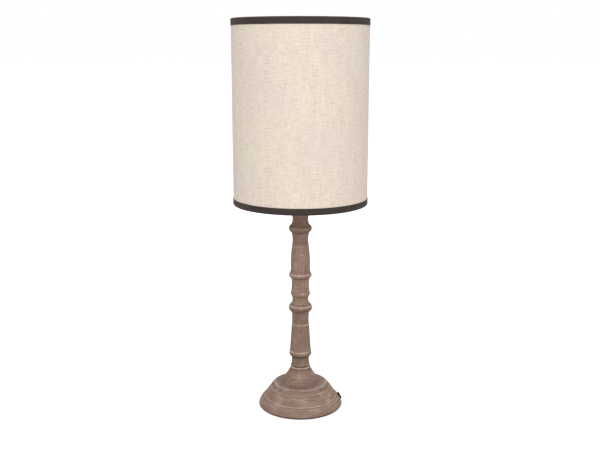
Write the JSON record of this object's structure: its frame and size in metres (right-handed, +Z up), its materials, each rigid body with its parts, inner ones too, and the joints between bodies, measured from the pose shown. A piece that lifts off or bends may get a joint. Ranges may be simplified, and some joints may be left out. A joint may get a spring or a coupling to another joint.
{
  "type": "table lamp",
  "caption": "Candlestick table lamp with a turned wooden foot and column, and a tall linen drum shade with dark edges.",
  "frame": {"origin": "centre of the felt's underside, on the surface the lamp stands on", "axes": "+Z up along the column, -Y the front as pictured, +X the side where the cable bush is"},
  "size_m": [0.2012, 0.2012, 0.59],
  "materials": {
    "washed_wood": "turned wood with a grey-white wash rubbed back on the edges",
    "felt": "black needle felt",
    "black_rubber": "moulded",
    "plated_steel": "zinc plated",
    "brass": "plain turned",
    "nickelled_brass": "nickel plated, satin",
    "solder": "soft solder",
    "black_plastic": "moulded thermoset",
    "white_ceramic": "unglazed",
    "black_glass": "glossy vitrite",
    "white_enamel": "white powder coat",
    "white_lining": "white laminating film",
    "linen": "natural linen, slub weave",
    "dark_ribbon": "dark brown woven ribbon, satin",
    "opal_glass": "opal"
  },
  "bodies": {
    "stand": {"foot": "washed_wood", "felt_pad": "felt", "cable_bush": "black_rubber", "column": "washed_wood", "threaded_rod": "plated_steel", "foot_washer": "plated_steel", "foot_nut": "plated_steel", "seating_washer": "brass", "lock_nut": "brass", "holder_cap": "black_plastic", "cap_screw": "plated_steel", "holder_core": "white_ceramic", "terminal_screws": "brass", "holder_skirt": "black_plastic", "screw_shell": "nickelled_brass", "centre_contact": "brass", "lower_shade_ring": "black_plastic"},
    "push_bar": {"switch_bar": "brass", "switch_tips": "black_plastic"},
    "shade_ring": {"upper_shade_ring": "black_plastic"},
    "shade": {"shade_fitter": "white_enamel", "shade_lining": "white_lining", "shade_linen": "linen", "top_wire_ring": "white_enamel", "trim_bottom": "dark_ribbon", "trim_top": "dark_ribbon"},
    "bulb_tip": {"bulb_eyelet": "solder"},
    "bulb": {"bulb_insulator": "black_glass", "bulb_cap": "nickelled_brass", "bulb_glass": "opal_glass"}
  },
  "joints": [
    {"name": "switch_push", "type": "slide", "parent": "stand", "child": "push_bar", "axis": [1, 0, 0], "range_m": [0, 0.006]},
    {"name": "shade_ring_turn", "type": "hinge", "parent": "stand", "child": "shade_ring", "pos_m": [0, 0, 0.3505], "axis": [0, 0, 1], "range_deg": [0, 90]},
    {"name": "shade_turn", "type": "hinge", "parent": "stand", "child": "shade", "pos_m": [0, 0, 0.349], "axis": [0, 0, 1], "continuous": true},
    {"name": "bulb_rise", "type": "slide", "parent": "stand", "child": "bulb_tip", "axis": [0, 0, 1], "range_m": [0, 0.01815]},
    {"name": "bulb_turn", "type": "hinge", "parent": "bulb_tip", "child": "bulb", "pos_m": [0, 0, 0.36], "axis": [0, 0, 1], "range_deg": [0, 1800]}
  ],
  "couplings": [
    {"joint": "bulb_rise", "follows": "bulb_turn", "m_per_rad": 0.00057757}
  ]
}
